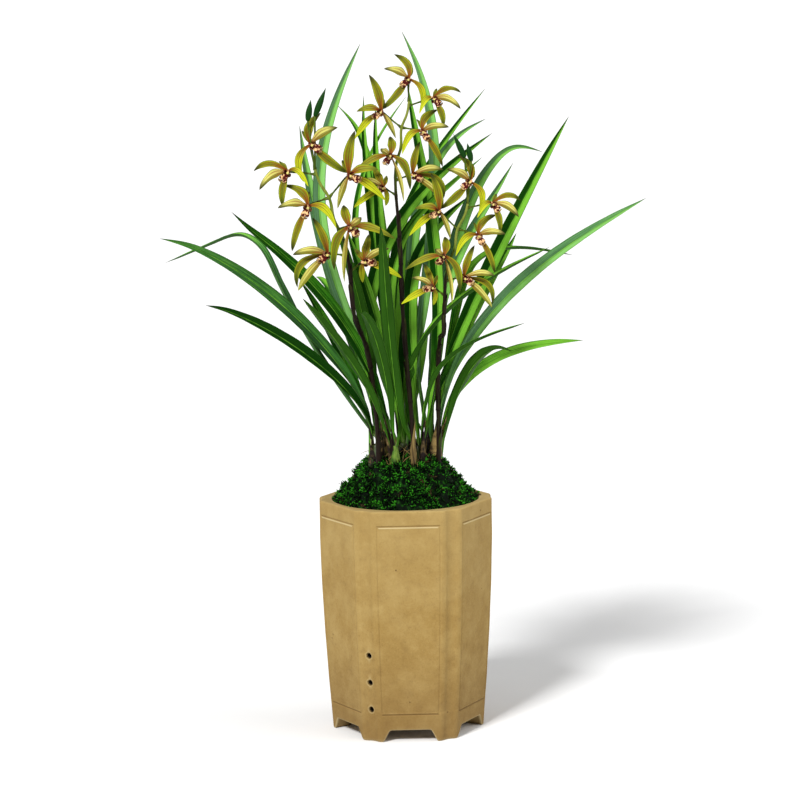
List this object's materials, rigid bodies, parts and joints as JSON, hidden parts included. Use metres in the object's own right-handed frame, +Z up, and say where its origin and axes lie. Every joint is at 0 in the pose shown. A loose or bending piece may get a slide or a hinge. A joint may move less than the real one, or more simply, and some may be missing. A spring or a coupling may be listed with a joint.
{
  "type": "potted orchid",
  "caption": "Potted cymbidium orchid: arching strap leaves and upright spikes of green and red-brown flowers, in a tall hexagonal stoneware pot with feet.",
  "frame": {"origin": "on the pot's axis, on the surface that the six feet stand on", "axes": "+Z up along the pot's axis; -Y out of the middle of one face of the pot, the side of the plant that the flower spikes stand in front of; +X to the right when that face is looked at"},
  "size_m": [0.5066, 0.3535, 0.7431],
  "materials": {
    "stoneware": "matte",
    "drainage_stones": "matte",
    "growing_mix": "matte",
    "moss": "matte",
    "pseudobulb": "satin",
    "leaf": "satin",
    "flower_spike": "satin"
  },
  "bodies": {
    "root": {"pot": "stoneware", "drainage_stones": "drainage_stones", "growing_mix": "growing_mix", "moss_cushion": "moss", "pseudobulb_left_front": "pseudobulb", "pseudobulb_left_back": "pseudobulb", "pseudobulb_middle_front": "pseudobulb", "pseudobulb_middle": "pseudobulb", "pseudobulb_right_inner": "pseudobulb", "pseudobulb_middle_back": "pseudobulb", "pseudobulb_right_front": "pseudobulb", "pseudobulb_right_back": "pseudobulb", "leaf_left_low": "leaf", "leaf_left_long": "leaf", "leaf_left_inner": "leaf", "leaf_left_drooping": "leaf", "leaf_left_tall": "leaf", "leaf_left_back": "leaf", "leaf_left_wide": "leaf", "leaf_left_front_short": "leaf", "leaf_crossing_arch": "leaf", "leaf_left_front_upright": "leaf", "leaf_top_left": "leaf", "leaf_upper_left_dark": "leaf", "leaf_upper_right_low": "leaf", "leaf_back_leaning": "leaf", "leaf_top_middle": "leaf", "leaf_top_middle_low": "leaf", "leaf_upper_left_bent": "leaf", "leaf_upper_left_narrow": "leaf", "leaf_back_upright": "leaf", "leaf_back_low": "leaf", "leaf_upper_right_thin": "leaf", "leaf_front_middle": "leaf", "leaf_front_left": "leaf", "leaf_front_leaning": "leaf", "leaf_right_dark": "leaf", "leaf_right_crossing": "leaf", "leaf_right_front_thin": "leaf", "leaf_upper_thin": "leaf", "leaf_back_right": "leaf", "leaf_upper_right_broad": "leaf", "leaf_right_arch": "leaf", "leaf_right_back": "leaf", "leaf_right_edge_on": "leaf", "leaf_right_front_leaning": "leaf", "leaf_right_arch_inner": "leaf", "leaf_right_tall": "leaf", "leaf_right_long": "leaf", "leaf_right_low": "leaf", "flower_spike_left": "flower_spike", "flower_spike_middle": "flower_spike", "flower_spike_right": "flower_spike"}
  },
  "joints": []
}
